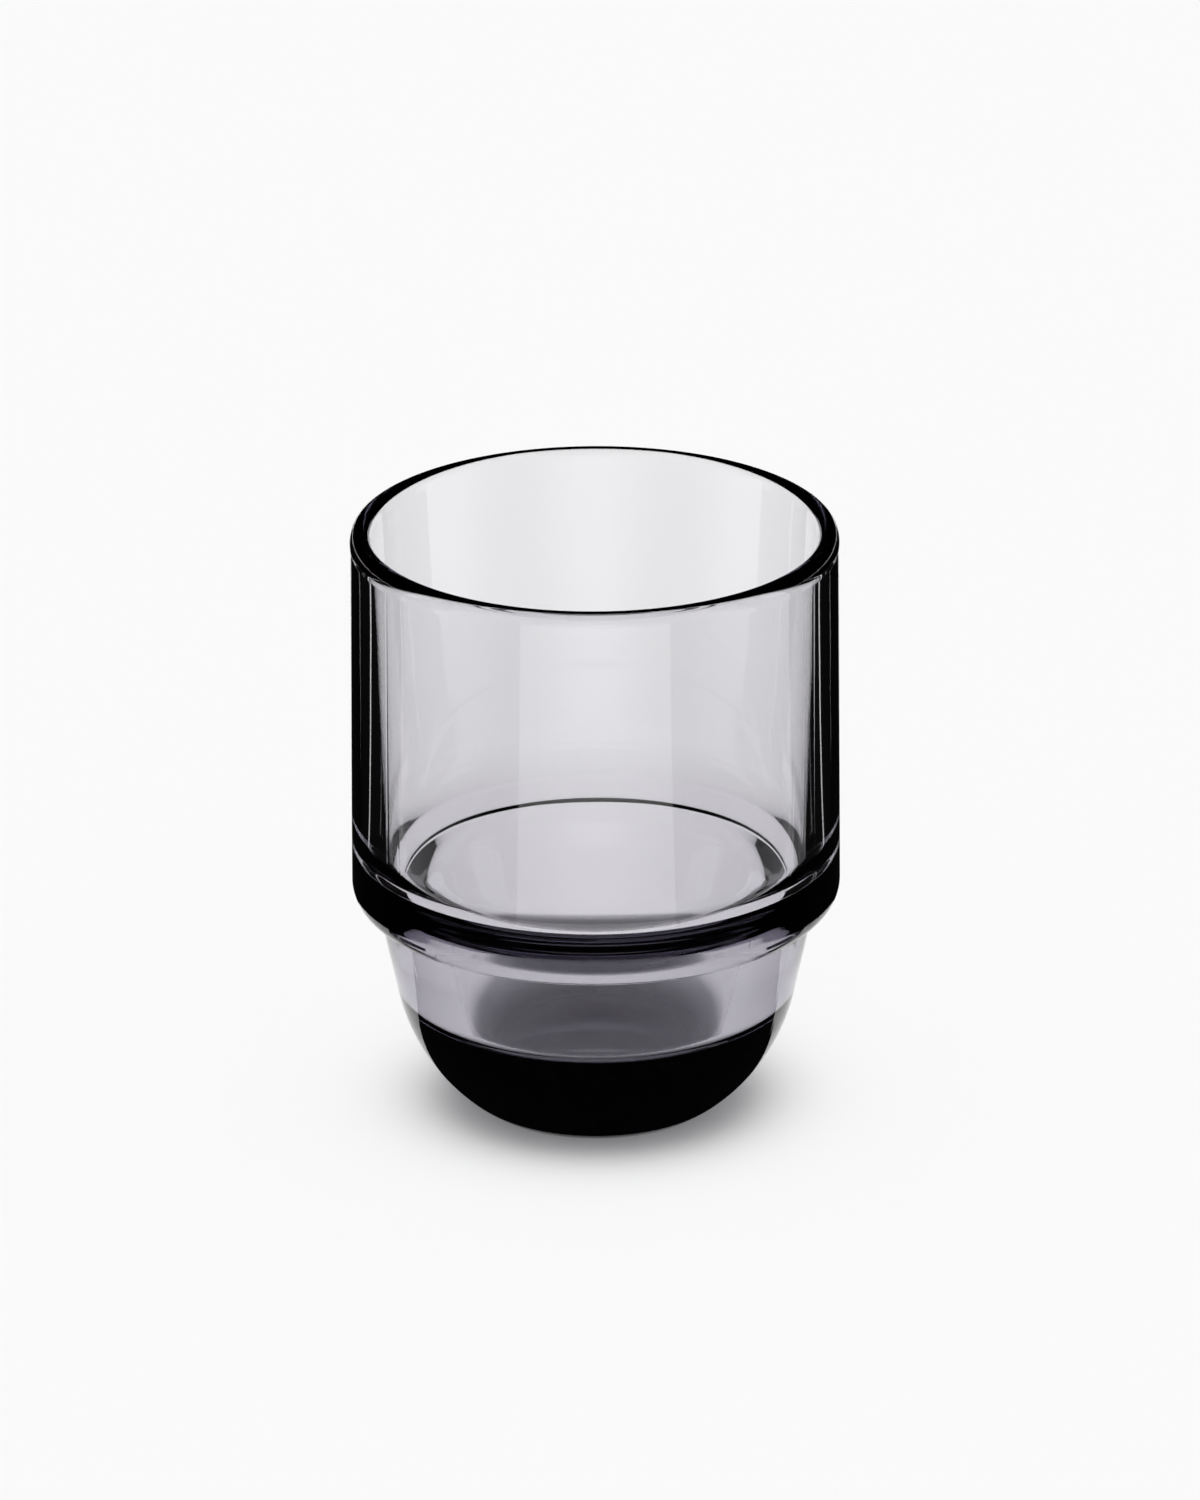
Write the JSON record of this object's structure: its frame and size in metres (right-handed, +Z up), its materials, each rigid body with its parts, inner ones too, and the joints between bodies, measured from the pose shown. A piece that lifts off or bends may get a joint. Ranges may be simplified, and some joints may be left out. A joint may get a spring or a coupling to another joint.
{
  "type": "cortado glass",
  "caption": "Short straight-walled drinking glass in smoke-tinted pressed glass, with a rounded shoulder and a smaller thick-based bowl that stacks into the mouth of another",
  "frame": {"origin": "middle of the foot, on the plane that the glass stands on", "axes": "+Z up along the axis of the glass, +X and +Y any two directions square to it"},
  "size_m": [0.0684, 0.0684, 0.085],
  "materials": {
    "smoked_glass": "fire-polished pressed glass, clear, tinted a neutral smoke grey"
  },
  "bodies": {
    "root": {"tumbler": "smoked_glass"}
  },
  "joints": []
}
